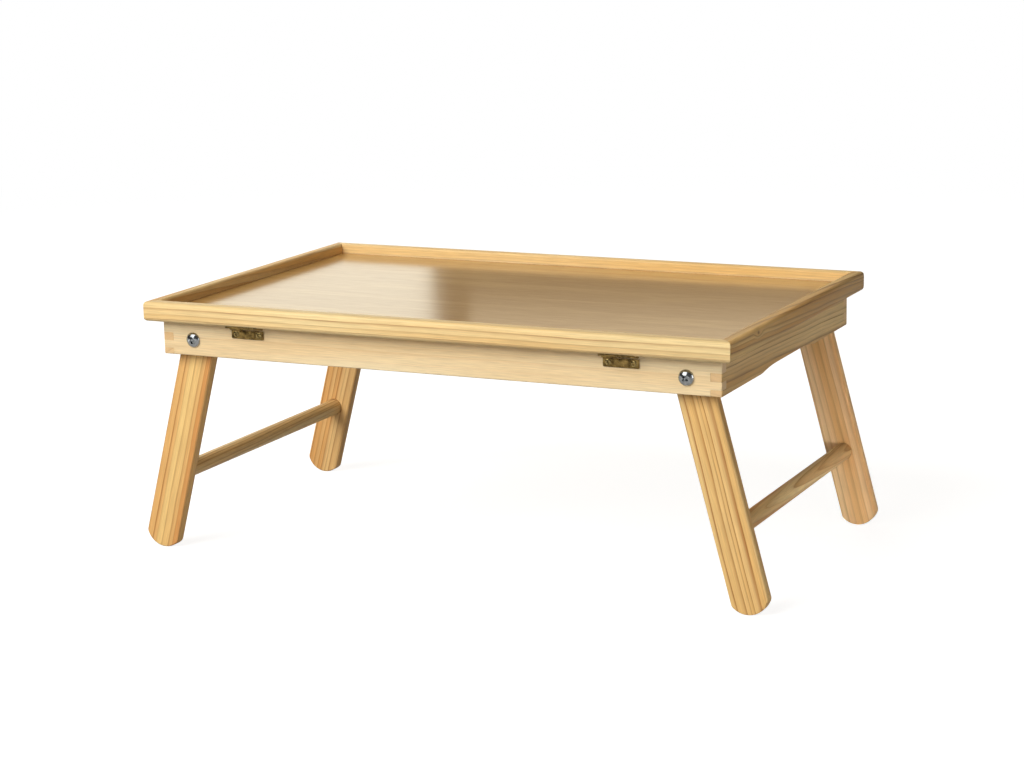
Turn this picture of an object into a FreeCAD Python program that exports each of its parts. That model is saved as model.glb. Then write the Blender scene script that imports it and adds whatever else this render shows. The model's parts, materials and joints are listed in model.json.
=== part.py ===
import FreeCAD, Part
import math
import os

# Folding bed tray table in pine: a rimmed tray that tilts on two butt hinges above a
# finger-jointed frame, with two pairs of splayed legs that fold up inside the frame.
# Millimetres. X runs along the tray, Y from front to back, Z up from the floor.
# The origin is on the floor under the middle of the tray.

# Tray
tray_length = 500.0
tray_depth = 320.0
table_height = 210.0        # floor to the top of the rim
rim_height = 16.0
rim_width = 10.5
rim_bow = 0.4               # the rim's outer face swells by this much
rim_top_round = 3.0
rim_bottom_round = 2.5
rim_inner_round = 2.0
rim_lip_round = 0.8
rim_corner_round = 1.5
panel_thickness = 4.0
panel_recess = 8.5          # top of the rim down to the panel
groove_depth = 4.5
groove_clearance = 0.3      # panel edge to the bottom of its groove

# Frame of four rails under the tray
rail_height = 31.5
rail_thickness = 9.0
lip_clearance_end = 0.5     # rim to the outside of the frame, at the ends
lip_clearance_side = 1.5    # and along the front and back
edge_round = 1.0
bottom_finger = 5.0         # lowest finger of the corner joint, on the end rails
finger_height = 6.3
arch_half_width = 66.0      # shallow hand-hold in the lower edge of each end rail
arch_half_flat = 28.0
arch_raise = 3.0
arch_entry_radius = 40.0

# Legs and their pivots
leg_width = 30.0
leg_thickness = 9.0
leg_splay = 15.0            # degrees from upright
leg_gap = 0.5               # leg to rail
leg_edge_round = 2.5
foot_radius = 17.0
foot_corner_radius = 6.0
pivot_rise = 13.0           # pivot above the lower edge of the rails
stop_clearance = 0.05       # opened leg to the end rail that stops it
stretcher_diameter = 14.0
stretcher_reach = 121.0     # pivot to stretcher along the leg
stretcher_seat = 6.0
bolt_diameter = 6.0
bolt_head_diameter = 12.3
bolt_head_height = 3.4
bolt_head_edge = 0.8        # upright part of the head below its dome
bolt_tail = 1.0
bolt_recess_span = 6.4
bolt_recess_width = 1.5
bolt_recess_depth = 2.0
bolt_turns = (8.0, 52.0, 24.0, 71.0)    # how far each bolt's cross is turned, degrees
washer_diameter = 12.0
washer_thickness = 1.6
nut_width = 10.0            # across flats
nut_height = 5.0
nut_collar_diameter = 8.6
nut_collar_height = 1.2
running_clearance = 0.08    # radial, pin or bolt in its hole
face_clearance = 0.1        # between faces that slide on each other

# Hinges
hinge_inset = 79.0          # end of the frame to the middle of a hinge
hinge_length = 29.0
leaf_width = 9.0            # hinge axis to the edge of a leaf
leaf_thickness = 1.0
knuckle_count = 3
knuckle_radius = 2.0
hinge_pin_radius = 1.0
hinge_offset = 2.1          # hinge axis to the rail's face, and to the rim's underside
leaf_screw_spacing = 20.5
screw_head_diameter = 5.0
screw_diameter = 2.4
screw_length = 7.5

# Wire prop that holds the tray at a slope
wire_diameter = 5.0
prop_pivot_drop = 8.0       # prop pivot below the upper edge of the rails
prop_bar_gap = 29.0         # bar of the lowered prop to the inside of the back rail
prop_side_gap = 3.5         # wire to the end rail
prop_end_bend = 5.0         # bend radii on the wire's centre line
prop_bar_bend = 10.0
prop_seat = 5.5             # wire end let into the end rail
tilt_stops = (18.0, 28.0, 38.0)         # tray slopes that have a notch, degrees
rack_width = 10.0
rack_inset = 20.0           # end rail to the notched strip
rack_end_margin = 9.0
rack_clearance = 0.3        # strip to the wire as it passes
notch_depth = 2.2
notch_clearance = 0.2
peg_diameter = 6.0          # pegs that the lowered prop rests on
peg_length = 11.0
peg_seat = 6.0
peg_gap = 30.0              # peg to the bar of the lowered prop

# Heights and places that follow
rim_bottom = table_height - rim_height
panel_top = table_height - panel_recess
panel_bottom = panel_top - panel_thickness
rail_top = panel_bottom
rail_bottom = rail_top - rail_height
frame_length = tray_length - 2 * (rim_width + lip_clearance_end)
frame_depth = tray_depth - 2 * (rim_width + lip_clearance_side)
rail_inside_x = frame_length / 2 - rail_thickness
rail_inside_y = frame_depth / 2 - rail_thickness

splay = math.radians(leg_splay)
pivot_height = rail_bottom + pivot_rise
# The leg's outer edge meets the rounded inner lower edge of the end rail at the splay angle.
stop_reach = leg_width / 2 + stop_clearance + edge_round + (pivot_rise - edge_round) * math.sin(splay)
pivot_x = rail_inside_x - (stop_reach / math.cos(splay) - edge_round)
foot_reach = (pivot_height - foot_radius) / math.cos(splay)
leg_outside_y = rail_inside_y - leg_gap
leg_inside_y = leg_outside_y - leg_thickness

hinge_x = frame_length / 2 - hinge_inset
hinge_y = -frame_depth / 2 - hinge_offset
hinge_z = rim_bottom - hinge_offset
knuckle_length = hinge_length / knuckle_count

wire_radius = wire_diameter / 2
prop_z = rail_top - prop_pivot_drop
bar_y = rail_inside_y - prop_bar_gap
# The prop's pivot is as far from the hinge axis as from the bar.
prop_span = bar_y - hinge_y
prop_reach = (prop_span ** 2 + (hinge_z - prop_z) ** 2) / (2 * prop_span)
prop_y = bar_y - prop_reach
prop_arm_x = rail_inside_x - prop_side_gap - wire_radius


def vec(x, y, z):
    return FreeCAD.Vector(x, y, z)


def block(low, high):
    """Box between two corners."""
    size = [b - a for a, b in zip(low, high)]
    return Part.makeBox(size[0], size[1], size[2], vec(*low))


def rod(radius, start, end):
    """Round bar between two points."""
    axis = vec(*end) - vec(*start)
    return Part.makeCylinder(radius, axis.Length, vec(*start), axis)


def closed_face(edges):
    return Part.Face(Part.Wire([edge.toShape() for edge in edges]))


def arc(centre, radius, start_deg, end_deg, place):
    """Arc through its middle angle; place turns the two plane coordinates into a point."""
    angles = (start_deg, (start_deg + end_deg) / 2, end_deg)
    points = []
    for angle in angles:
        turn = math.radians(angle)
        points.append(place(centre[0] + radius * math.cos(turn), centre[1] + radius * math.sin(turn)))
    return Part.Arc(*points)


def mirror_x(shape):
    return shape.mirror(vec(0, 0, 0), vec(1, 0, 0))


def mirror_y(shape):
    return shape.mirror(vec(0, 0, 0), vec(0, 1, 0))


def fillet_where(shape, radius, wanted):
    edges = [edge for edge in shape.Edges if wanted(edge)]
    return shape.makeFillet(radius, edges)


# ---- Tray -------------------------------------------------------------------------------

def rim_section(place):
    """Section of the rim moulding: u outwards from the inner face, v up from the bottom."""
    outer = rim_width - rim_bow
    lip = panel_bottom - rim_bottom
    groove_top = lip + panel_thickness
    top_start = rim_height - rim_top_round
    edges = [
        Part.LineSegment(place(rim_lip_round, 0), place(outer - rim_bottom_round, 0)),
        arc((outer - rim_bottom_round, rim_bottom_round), rim_bottom_round, -90, 0, place),
        Part.Arc(place(outer, rim_bottom_round),
                 place(rim_width, (rim_bottom_round + top_start) / 2),
                 place(outer, top_start)),
        arc((outer - rim_top_round, top_start), rim_top_round, 0, 90, place),
        Part.LineSegment(place(outer - rim_top_round, rim_height), place(rim_inner_round, rim_height)),
        arc((rim_inner_round, rim_height - rim_inner_round), rim_inner_round, 90, 180, place),
        Part.LineSegment(place(0, rim_height - rim_inner_round), place(0, groove_top)),
        Part.LineSegment(place(0, groove_top), place(groove_depth, groove_top)),
        Part.LineSegment(place(groove_depth, groove_top), place(groove_depth, lip)),
        Part.LineSegment(place(groove_depth, lip), place(0, lip)),
        Part.LineSegment(place(0, lip), place(0, rim_lip_round)),
        arc((rim_lip_round, rim_lip_round), rim_lip_round, 180, 270, place),
    ]
    return closed_face(edges)


def mitred_rim(length, depth):
    """Moulding along X at the front edge (-Y) of a tray of this length and depth, ends mitred."""
    inner_y = -depth / 2 + rim_width
    section = rim_section(lambda u, v: vec(-length / 2, inner_y - u, rim_bottom + v))
    bar = section.extrude(vec(length, 0, 0))
    mitre = Part.makePolygon([
        vec(-length / 2, -depth / 2, rim_bottom),
        vec(length / 2, -depth / 2, rim_bottom),
        vec(length / 2 - rim_width, inner_y, rim_bottom),
        vec(-length / 2 + rim_width, inner_y, rim_bottom),
        vec(-length / 2, -depth / 2, rim_bottom)])
    bar = bar.common(Part.Face(mitre).extrude(vec(0, 0, rim_height)))
    plan = block((-length / 2, -depth / 2, rim_bottom), (length / 2, depth / 2, table_height))
    plan = fillet_where(plan, rim_corner_round, is_upright)
    return bar.common(plan)


def is_upright(edge):
    box = edge.BoundBox
    return box.ZLength > 1.0 and box.XLength < 0.01 and box.YLength < 0.01


def build_tray():
    front = mitred_rim(tray_length, tray_depth)
    left = mitred_rim(tray_depth, tray_length)
    left.rotate(vec(0, 0, 0), vec(0, 0, 1), -90)
    for x in screw_places():
        front = front.cut(upper_screw(x))
    return {
        "rim_front": front,
        "rim_back": mirror_y(mitred_rim(tray_length, tray_depth)),
        "rim_left": left,
        "rim_right": mirror_x(left),
        "tray_panel": tray_panel(),
    }


def tray_panel():
    """Plywood panel: the open field that things stand on, and the border inside the rim's groove.

    The border joins the field without a step, but keeps the field a face of its own.
    """
    field_x = tray_length / 2 - rim_width
    field_y = tray_depth / 2 - rim_width
    border = groove_depth - groove_clearance
    field = block((-field_x, -field_y, panel_bottom), (field_x, field_y, panel_top))
    whole = block((-field_x - border, -field_y - border, panel_bottom),
                  (field_x + border, field_y + border, panel_top))
    return field.fuse(whole.cut(field))


# ---- Frame ------------------------------------------------------------------------------

def frame_ring():
    """All four rails as one ring, every lower edge rounded and the hand-holds cut after that."""
    outer_x = frame_length / 2
    outer_y = frame_depth / 2
    ring = block((-outer_x, -outer_y, rail_bottom), (outer_x, outer_y, rail_top))
    ring = ring.cut(block((-rail_inside_x, -rail_inside_y, rail_bottom),
                          (rail_inside_x, rail_inside_y, rail_top)))

    def eased(edge):
        box = edge.BoundBox
        if is_upright(edge):
            return abs(box.XMin) > rail_inside_x + 1 and abs(box.YMin) > rail_inside_y + 1
        return box.ZMax < rail_bottom + 0.01

    return fillet_where(ring, edge_round, eased).cut(hand_hold())


def hand_hold():
    """Shallow arch through both end rails: flat in the middle, an ogee at each end."""
    run = arch_half_width - arch_half_flat
    turn = 2 * math.atan(arch_raise / run)
    sweep_radius = run / math.sin(turn) - arch_entry_radius
    turn_deg = math.degrees(turn)
    low = rail_bottom
    high = rail_bottom + arch_raise
    x = -frame_length / 2

    def place(y, z):
        return vec(x, y, z)

    entry = (-arch_half_width, low + arch_entry_radius)
    sweep = (-arch_half_flat, high - sweep_radius)
    edges = [
        arc(entry, arch_entry_radius, -90, -90 + turn_deg, place),
        arc(sweep, sweep_radius, 90 + turn_deg, 90, place),
        Part.LineSegment(place(-arch_half_flat, high), place(arch_half_flat, high)),
        arc((arch_half_flat, high - sweep_radius), sweep_radius, 90, 90 - turn_deg, place),
        arc((arch_half_width, low + arch_entry_radius), arch_entry_radius, -90 - turn_deg, -90, place),
        Part.LineSegment(place(arch_half_width, low), place(-arch_half_width, low)),
    ]
    return closed_face(edges).extrude(vec(frame_length, 0, 0))


def end_finger_bands():
    """Heights of the fingers that belong to the end rails, bottom up."""
    second = rail_bottom + bottom_finger + finger_height
    return [(rail_bottom, rail_bottom + bottom_finger), (second, second + finger_height)]


def end_fingers():
    """The corner blocks taken by the fingers of the end rails, at all four corners."""
    blocks = []
    for low, high in end_finger_bands():
        for sx in (-1, 1):
            for sy in (-1, 1):
                xs = sorted((sx * rail_inside_x, sx * frame_length / 2))
                ys = sorted((sy * rail_inside_y, sy * frame_depth / 2))
                blocks.append(block((xs[0], ys[0], low), (xs[1], ys[1], high)))
    return Part.makeCompound(blocks)


def build_rails():
    ring = frame_ring()
    outer_x = frame_length / 2
    outer_y = frame_depth / 2
    fingers = end_fingers()
    front_zone = block((-outer_x, -outer_y, rail_bottom), (outer_x, -rail_inside_y, rail_top))
    right_zone = block((rail_inside_x, -rail_inside_y, rail_bottom), (outer_x, rail_inside_y, rail_top))
    front = ring.common(front_zone.cut(fingers))
    right = ring.common(right_zone.fuse(
        fingers.common(block((0, -outer_y, rail_bottom), (outer_x, outer_y, rail_top)))).removeSplitter())
    for side in (-1, 1):
        front = front.cut(rod(bolt_diameter / 2 + running_clearance,
                              (side * pivot_x, -outer_y, pivot_height),
                              (side * pivot_x, -rail_inside_y, pivot_height)))
    back = mirror_y(front)
    for x in screw_places():
        front = front.cut(lower_screw(x))
    right = right.cut(rod(wire_radius + running_clearance, (rail_inside_x, prop_y, prop_z),
                          (rail_inside_x + prop_seat + face_clearance, prop_y, prop_z)))
    right = right.cut(rod(peg_diameter / 2, (rail_inside_x, peg_y(), peg_z()),
                          (rail_inside_x + peg_seat, peg_y(), peg_z())))
    return {"rail_front": front, "rail_back": back, "rail_right": right, "rail_left": mirror_x(right)}


# ---- Legs -------------------------------------------------------------------------------

def leg_blank():
    """Front leg hanging straight down from a pivot at the origin, before it is splayed.

    It is a bar with its four long edges rounded, and its ends are then cut to shape.
    """
    half = leg_width / 2
    blend_drop = math.sqrt((foot_radius - foot_corner_radius) ** 2 - (half - foot_corner_radius) ** 2)
    blend_z = -foot_reach - blend_drop
    blend_angle = math.degrees(math.atan2(-blend_drop, half - foot_corner_radius))
    y = -leg_outside_y

    def place(x, z):
        return vec(x, y, z)

    edges = [
        arc((0, 0), half, 0, 180, place),
        Part.LineSegment(place(-half, 0), place(-half, blend_z)),
        arc((foot_corner_radius - half, blend_z), foot_corner_radius, 180, 180 - blend_angle, place),
        arc((0, -foot_reach), foot_radius, 180 - blend_angle, 360 + blend_angle, place),
        arc((half - foot_corner_radius, blend_z), foot_corner_radius, blend_angle, 0, place),
        Part.LineSegment(place(half, blend_z), place(half, 0)),
    ]
    bar = block((-half, y, -foot_reach - foot_radius), (half, y + leg_thickness, half))
    bar = fillet_where(bar, leg_edge_round, is_upright)
    leg = bar.common(closed_face(edges).extrude(vec(0, leg_thickness, 0)))
    leg = leg.cut(rod(bolt_diameter / 2 + running_clearance,
                      (0, -leg_outside_y, 0), (0, -leg_inside_y, 0)))
    return leg.cut(rod(stretcher_diameter / 2, (0, -leg_inside_y - stretcher_seat, -stretcher_reach),
                       (0, -leg_inside_y, -stretcher_reach)))


def splayed(shape):
    """Swing a right-hand piece out from its pivot and put it in place."""
    shape.rotate(vec(0, 0, 0), vec(0, 1, 0), -leg_splay)
    shape.translate(vec(pivot_x, 0, pivot_height))
    return shape


def build_legs():
    front_right = splayed(leg_blank())
    reach = leg_inside_y + stretcher_seat
    stretcher = splayed(rod(stretcher_diameter / 2, (0, -reach, -stretcher_reach),
                            (0, reach, -stretcher_reach)))
    back_right = mirror_y(front_right)
    return {
        "leg_front_right": front_right,
        "leg_back_right": back_right,
        "stretcher_right": stretcher,
        "leg_front_left": mirror_x(front_right),
        "leg_back_left": mirror_x(back_right),
        "stretcher_left": mirror_x(stretcher),
    }


def cross_recess(span, width, depth, turn):
    """Cross-shaped recess, this deep below the origin, that opens towards -Y."""
    slots = [block((-span / 2, -depth, -width / 2), (span / 2, depth, width / 2)),
             block((-width / 2, -depth, -span / 2), (width / 2, depth, span / 2))]
    cross = slots[0].fuse(slots[1])
    cross.rotate(vec(0, 0, 0), vec(0, 1, 0), turn)
    return cross


def pivot_bolt(turn):
    """Round-headed bolt along +Y with the underside of its head at the origin."""
    head_radius = bolt_head_diameter / 2
    dome = bolt_head_height - bolt_head_edge
    dome_radius = (head_radius ** 2 + dome ** 2) / (2 * dome)
    dome_edge = math.degrees(math.atan2(dome - dome_radius, head_radius))
    section = closed_face([
        Part.LineSegment(vec(0, 0, 0), vec(head_radius, 0, 0)),
        Part.LineSegment(vec(head_radius, 0, 0), vec(head_radius, -bolt_head_edge, 0)),
        arc((0, dome_radius - bolt_head_height), dome_radius, dome_edge, -90, lambda x, y: vec(x, y, 0)),
        Part.LineSegment(vec(0, -bolt_head_height, 0), vec(0, 0, 0))])
    head = section.revolve(vec(0, 0, 0), vec(0, 1, 0), 360)
    recess = cross_recess(bolt_recess_span, bolt_recess_width, bolt_recess_depth, turn)
    recess.translate(vec(0, -bolt_head_height, 0))
    tail_end = nut_start() + nut_height + nut_collar_height + bolt_tail
    shank = rod(bolt_diameter / 2, (0, 0, 0), (0, tail_end, 0))
    return head.cut(recess).fuse(shank)


def washer_start():
    return rail_thickness + leg_gap + leg_thickness + face_clearance


def nut_start():
    return washer_start() + washer_thickness


def pivot_washer():
    start = (0, washer_start(), 0)
    end = (0, nut_start(), 0)
    return rod(washer_diameter / 2, start, end).cut(rod(bolt_diameter / 2 + running_clearance, start, end))


def lock_nut():
    """Hexagon nut with a plain locking collar."""
    corner = nut_width / 2 / math.cos(math.radians(30))
    start = nut_start()
    end = start + nut_height
    points = [vec(corner * math.cos(math.radians(60 * i)), start, corner * math.sin(math.radians(60 * i)))
              for i in range(7)]
    hexagon = Part.Face(Part.makePolygon(points)).extrude(vec(0, nut_height, 0))
    nut = hexagon.fuse(rod(nut_collar_diameter / 2, (0, end, 0), (0, end + nut_collar_height, 0)))
    return nut.cut(rod(bolt_diameter / 2, (0, start, 0), (0, end + nut_collar_height, 0)))


def at_pivots(pieces):
    """Put four pieces, made for the front face, at the front and back ends of both pivots."""
    placed = []
    for piece, (side, back) in zip(pieces, ((-1, False), (1, False), (-1, True), (1, True))):
        piece.translate(vec(side * pivot_x, -frame_depth / 2, pivot_height))
        placed.append(mirror_y(piece) if back else piece)
    return Part.makeCompound(placed)


def build_pivots():
    return {
        "pivot_bolts": at_pivots([pivot_bolt(turn) for turn in bolt_turns]),
        "pivot_washers": at_pivots([pivot_washer() for turn in bolt_turns]),
        "pivot_nuts": at_pivots([lock_nut() for turn in bolt_turns]),
    }


# ---- Hinges -----------------------------------------------------------------------------

def screw_places():
    """X of every hinge screw: two in each leaf of each hinge."""
    return [side * hinge_x + end * leaf_screw_spacing / 2 for side in (-1, 1) for end in (-1, 1)]


def leaf_screw_reach():
    """Hinge axis to the line of screws: halfway across the plain part of a leaf."""
    return (leaf_width + knuckle_radius) / 2


def countersunk_screw():
    """Screw along +Y, its head flush at the origin and as deep as the leaf it holds."""
    head = screw_head_diameter / 2
    shank = screw_diameter / 2
    section = Part.Face(Part.makePolygon([
        vec(0, 0, 0), vec(head, 0, 0), vec(shank, leaf_thickness, 0), vec(shank, screw_length, 0),
        vec(0, screw_length, 0), vec(0, 0, 0)]))
    return section.revolve(vec(0, 0, 0), vec(0, 1, 0), 360)


def lower_screw(x):
    screw = countersunk_screw()
    screw.translate(vec(x, -frame_depth / 2 - leaf_thickness, hinge_z - leaf_screw_reach()))
    return screw


def upper_screw(x):
    screw = countersunk_screw()
    screw.rotate(vec(0, 0, 0), vec(1, 0, 0), 90)
    screw.translate(vec(x, hinge_y - leaf_screw_reach(), rim_bottom - leaf_thickness))
    return screw


def hinge_leaf(first_knuckle):
    """Lower leaf at the origin: the axis is the X axis, the plate hangs down behind it.

    first_knuckle is 0 for the leaf that has the end knuckles and 1 for the other one.
    """
    half = hinge_length / 2
    back = hinge_offset
    front = hinge_offset - leaf_thickness
    neck = -knuckle_radius - running_clearance
    leaf = block((-half, front, -leaf_width), (half, back, neck))
    for index in range(first_knuckle, knuckle_count, 2):
        start = -half + index * knuckle_length + face_clearance / 2
        end = start + knuckle_length - face_clearance
        leaf = leaf.fuse(block((start, front, neck), (end, back, 0)))
        leaf = leaf.fuse(rod(knuckle_radius, (start, 0, 0), (end, 0, 0)))
    return leaf.cut(rod(hinge_pin_radius + running_clearance, (-half, 0, 0), (half, 0, 0)))


def build_hinges():
    nodes = {}
    lower = hinge_leaf(0)
    upper = hinge_leaf(1).mirror(vec(0, 0, 0), vec(0, 1, -1))
    for name, side in (("left", -1), ("right", 1)):
        place = vec(side * hinge_x, hinge_y, hinge_z)
        for leaf_name, leaf, screw_at in (("lower", lower, lower_screw), ("upper", upper, upper_screw)):
            placed = leaf.copy()
            placed.translate(place)
            for x in screw_places():
                placed = placed.cut(screw_at(x))
            nodes["hinge_%s_leaf_%s" % (leaf_name, name)] = placed
        start = place - vec(hinge_length / 2, 0, 0)
        pin = Part.makeCylinder(hinge_pin_radius, hinge_length, start, vec(1, 0, 0))
        nodes["hinge_pin_%s" % name] = pin
    for leaf_name, screw_at in (("lower", lower_screw), ("upper", upper_screw)):
        nodes["hinge_%s_screws" % leaf_name] = Part.makeCompound([screw_at(x) for x in screw_places()])
    return nodes


# ---- Prop -------------------------------------------------------------------------------

def peg_y():
    return bar_y - peg_gap


def peg_z():
    return prop_z - wire_radius - stop_clearance - peg_diameter / 2


def rounded_path(points, radii):
    """Straight runs through the points, joined by tangent arcs of the given radii."""
    edges = []
    start = points[0]
    for index, radius in enumerate(radii):
        corner = points[index + 1]
        into = (points[index] - corner).normalize()
        away = (points[index + 2] - corner).normalize()
        half_angle = into.getAngle(away) / 2
        cut = radius / math.tan(half_angle)
        centre = corner + (into + away).normalize() * (radius / math.sin(half_angle))
        middle = centre + (corner - centre).normalize() * radius
        edges.append(Part.LineSegment(start, corner + into * cut))
        edges.append(Part.Arc(corner + into * cut, middle, corner + away * cut))
        start = corner + away * cut
    edges.append(Part.LineSegment(start, points[-1]))
    return Part.Wire([edge.toShape() for edge in edges])


def prop_bail():
    """Wire bent to a bail: two pivot ends, two arms and the bar that lifts the tray."""
    end_x = rail_inside_x + prop_seat
    points = [vec(end_x, prop_y, prop_z), vec(prop_arm_x, prop_y, prop_z),
              vec(prop_arm_x, bar_y, prop_z), vec(-prop_arm_x, bar_y, prop_z),
              vec(-prop_arm_x, prop_y, prop_z), vec(-end_x, prop_y, prop_z)]
    path = rounded_path(points, (prop_end_bend, prop_bar_bend, prop_bar_bend, prop_end_bend))
    section = Part.Wire(Part.makeCircle(wire_radius, points[0], vec(1, 0, 0)))
    return path.makePipeShell([section], True, False)


def bar_in_tray(tilt):
    """Middle of the bar at this tilt, as (y, z) in the tray as it lies closed.

    The prop turns through twice the tilt, which carries its bar along a straight
    line that runs through the hinge axis.
    """
    turn = math.radians(2 * tilt)
    y = prop_y + prop_reach * math.cos(turn) - hinge_y
    z = prop_z + prop_reach * math.sin(turn) - hinge_z
    back = math.radians(-tilt)
    return (hinge_y + y * math.cos(back) - z * math.sin(back),
            hinge_z + y * math.sin(back) + z * math.cos(back))


def prop_rack():
    """Notched strip under the panel, its lower edge just above the bar's line of travel."""
    start = bar_in_tray(tilt_stops[-1])
    end = bar_in_tray(0)
    slope = math.atan2(end[1] - start[1], end[0] - start[0])
    lift = wire_radius + rack_clearance

    def above(y, height):
        return start[1] + (y - start[0]) * math.tan(slope) + height / math.cos(slope)

    x = rail_inside_x - rack_inset - rack_width
    front = start[0] - rack_end_margin
    back = end[0] - wire_radius
    strip = Part.Face(Part.makePolygon([
        vec(x, front, above(front, lift)), vec(x, back, above(back, lift)),
        vec(x, back, panel_bottom), vec(x, front, panel_bottom),
        vec(x, front, above(front, lift))])).extrude(vec(rack_width, 0, 0))
    for tilt in tilt_stops:
        y, z = bar_in_tray(tilt)
        seat = z + notch_depth
        strip = strip.cut(rod(wire_radius + notch_clearance, (x, y, seat), (x + rack_width, y, seat)))
    return strip


def build_prop():
    rack = prop_rack()
    peg = rod(peg_diameter / 2, (rail_inside_x - peg_length, peg_y(), peg_z()),
              (rail_inside_x + peg_seat, peg_y(), peg_z()))
    return {
        "prop_bail": prop_bail(),
        "prop_rack_right": rack,
        "prop_rack_left": mirror_x(rack),
        "prop_pegs": Part.makeCompound([peg, mirror_x(peg)]),
    }


def main():
    os.makedirs("parts", exist_ok=True)
    for build in (build_tray, build_rails, build_legs, build_pivots, build_hinges, build_prop):
        for name, shape in build().items():
            shape.exportStep("parts/%s.step" % name)


main()
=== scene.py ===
import json
import math
import bmesh
import bpy
from mathutils import Matrix, Vector


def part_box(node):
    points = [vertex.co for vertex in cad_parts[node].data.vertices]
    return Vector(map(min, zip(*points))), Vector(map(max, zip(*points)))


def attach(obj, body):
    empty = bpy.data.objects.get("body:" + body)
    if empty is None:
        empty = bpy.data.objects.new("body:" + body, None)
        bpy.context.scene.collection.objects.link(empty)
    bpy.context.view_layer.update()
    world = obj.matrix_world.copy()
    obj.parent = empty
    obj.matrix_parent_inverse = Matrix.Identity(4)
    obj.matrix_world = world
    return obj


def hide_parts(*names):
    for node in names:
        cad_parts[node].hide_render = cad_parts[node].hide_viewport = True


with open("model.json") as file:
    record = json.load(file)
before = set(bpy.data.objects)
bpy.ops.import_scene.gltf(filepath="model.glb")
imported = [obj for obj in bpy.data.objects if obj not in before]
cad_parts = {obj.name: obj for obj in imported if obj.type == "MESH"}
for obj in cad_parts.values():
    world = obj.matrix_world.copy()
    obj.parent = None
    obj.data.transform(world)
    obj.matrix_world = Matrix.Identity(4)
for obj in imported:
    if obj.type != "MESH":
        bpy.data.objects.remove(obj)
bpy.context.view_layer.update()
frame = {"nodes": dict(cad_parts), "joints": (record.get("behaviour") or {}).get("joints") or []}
mm = 0.001

print("camera")

photoView = {
    "yaw": 25.44,            # degrees that the camera stands to the right of the front
    "pitch": 12.26,
    "roll": -1.17,
    "distance": 2.02362,     # metres from the aim point
    "aim": (0.00009, 0.0, 0.12813),
    "lens": 86.53,
}


def makeCamera(view):
    yaw, pitch, roll = (math.radians(view[key]) for key in ("yaw", "pitch", "roll"))
    back = Vector((math.sin(yaw) * math.cos(pitch), -math.cos(yaw) * math.cos(pitch), math.sin(pitch)))
    side = (-back).cross(Vector((0, 0, 1))).normalized()
    top = side.cross(-back)
    rolledSide = side * math.cos(roll) + top * math.sin(roll)
    rolledTop = top * math.cos(roll) - side * math.sin(roll)
    data = bpy.data.cameras.new("photoCamera")
    data.lens = view["lens"]
    data.sensor_width = 36.0
    data.clip_end = 100.0
    camera = bpy.data.objects.new("photoCamera", data)
    bpy.context.scene.collection.objects.link(camera)
    turn = Matrix((rolledSide, rolledTop, back)).transposed().to_4x4()
    camera.matrix_world = Matrix.Translation(Vector(view["aim"]) + back * view["distance"]) @ turn
    bpy.context.scene.camera = camera


makeCamera(photoView)

print("materials")


def hexColor(code):
    channels = [int(code[i:i + 2], 16) / 255 for i in (1, 3, 5)]
    linear = [c / 12.92 if c <= 0.04045 else ((c + 0.055) / 1.055) ** 2.4 for c in channels]
    return (*linear, 1.0)


def gray(value):
    return (value, value, value, 1.0)


def newMaterial(name):
    material = bpy.data.materials.new(name)
    material.use_nodes = True
    material.node_tree.nodes.clear()
    return material, material.node_tree


def add(tree, kind, inputs=None, **settings):
    node = tree.nodes.new(kind)
    for key, value in settings.items():
        setattr(node, key, value)
    for key, value in (inputs or {}).items():
        if isinstance(value, bpy.types.NodeSocket):
            tree.links.new(value, node.inputs[key])
        else:
            node.inputs[key].default_value = value
    return node


def setRamp(node, stops):
    ramp = node.color_ramp
    while len(ramp.elements) > 1:
        ramp.elements.remove(ramp.elements[-1])
    ramp.elements[0].position, ramp.elements[0].color = stops[0]
    for place, color in stops[1:]:
        ramp.elements.new(place).color = color


# Planed and lacquered pine as solid wood: growth rings round a pith that lies outside the board, so
# that the face, the edge and the end of one board agree. Lengths are millimetres in the board, whose
# x runs along the grain. The eye sees cream and honey bands with thin orange-brown summer lines.
pineLook = {
    "early": "#f4d79a",      # pale spring wood
    "earlyWarm": "#e6b76e",  # the same where it is more resinous
    "late": "#a05a18",       # summer wood, the thin dark side of a ring
    "lateShare": 0.82,
    "ringWidth": 4.2,
    "ringDrift": 1.5,        # uneven years
    "wander": 4.0,           # how far the rings stray from true circles
    "pith": (0.0, 8.0, -60.0),
    "tilt": (0.0, 0.0, 0.0),  # degrees that the grain runs out of the board
    "seed": 0.0,
    "fibre": 0.18,           # darkness of the fine fibres
    "bandTone": 0.65,        # how much of the warmth changes from ring to ring
    "end": "#e3c092",        # cut ends, where the rings show less
    "roughness": 0.5,
    "coat": 0.05,
    "knots": (),             # places and radii
    "knotHeart": "#6d3f1c",
    "knotReach": 3.4,        # rings bend round a knot out to this many of its radii
    "knotPush": 0.9,         # and are pushed aside by this share of a ring
}
# How dark a ring is across its width: it fades fast from the last summer line, then darkens to its own.
ringProfile = [(0.0, 0.9), (0.05, 0.35), (0.12, 0.03), (0.5, 0.08), (0.72, 0.3), (0.86, 0.72), (0.95, 1.0)]
# Noise stretched along the grain, its lengths in millimetres.
grainNoises = {
    "wander": dict(offset=3.0, along=150.0, across=40.0, detail=2.0),
    "streak": dict(offset=11.0, along=70.0, across=6.0, detail=3.0),
    "fibre": dict(offset=5.0, along=24.0, across=0.75, detail=3.0, roughness=0.6),
    "patch": dict(offset=19.0, along=190.0, across=18.0, detail=1.0),
}


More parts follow.
